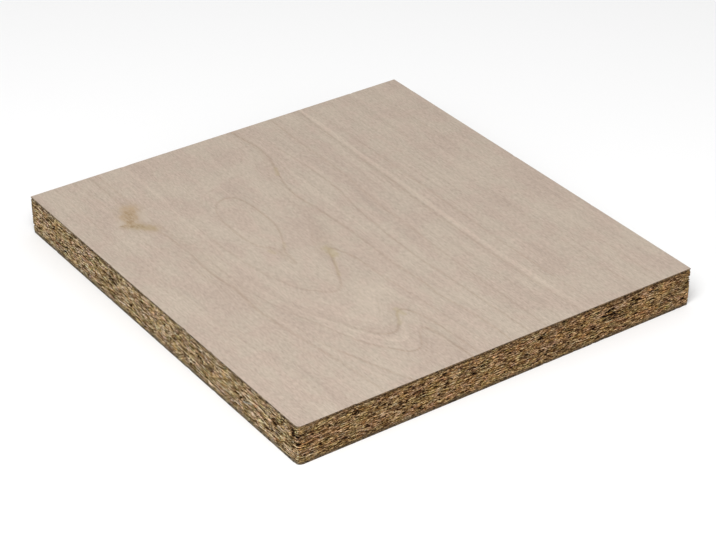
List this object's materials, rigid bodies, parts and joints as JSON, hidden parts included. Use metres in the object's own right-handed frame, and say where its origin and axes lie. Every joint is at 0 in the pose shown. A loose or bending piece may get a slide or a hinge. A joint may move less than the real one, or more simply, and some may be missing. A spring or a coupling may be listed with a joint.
{
  "type": "maple veneered particle board",
  "caption": "Flat rectangular panel of pressed wood chips, faced on both sides with thin maple veneer and left bare on its sawn edges; stock for cabinets, shelves and furniture.",
  "frame": {"origin": "the middle of the underside, on the surface that the panel lies on", "axes": "+Z out of the top face, through the thickness; +Y along the grain of the veneers, the panel's length; +X across the grain, its width"},
  "size_m": [0.208, 0.223, 0.019],
  "materials": {
    "particle_board": "matte",
    "maple_face": "matte",
    "maple_back": "matte"
  },
  "bodies": {
    "root": {"particle_core": "particle_board", "face_veneer": "maple_face", "back_veneer": "maple_back"}
  },
  "joints": []
}
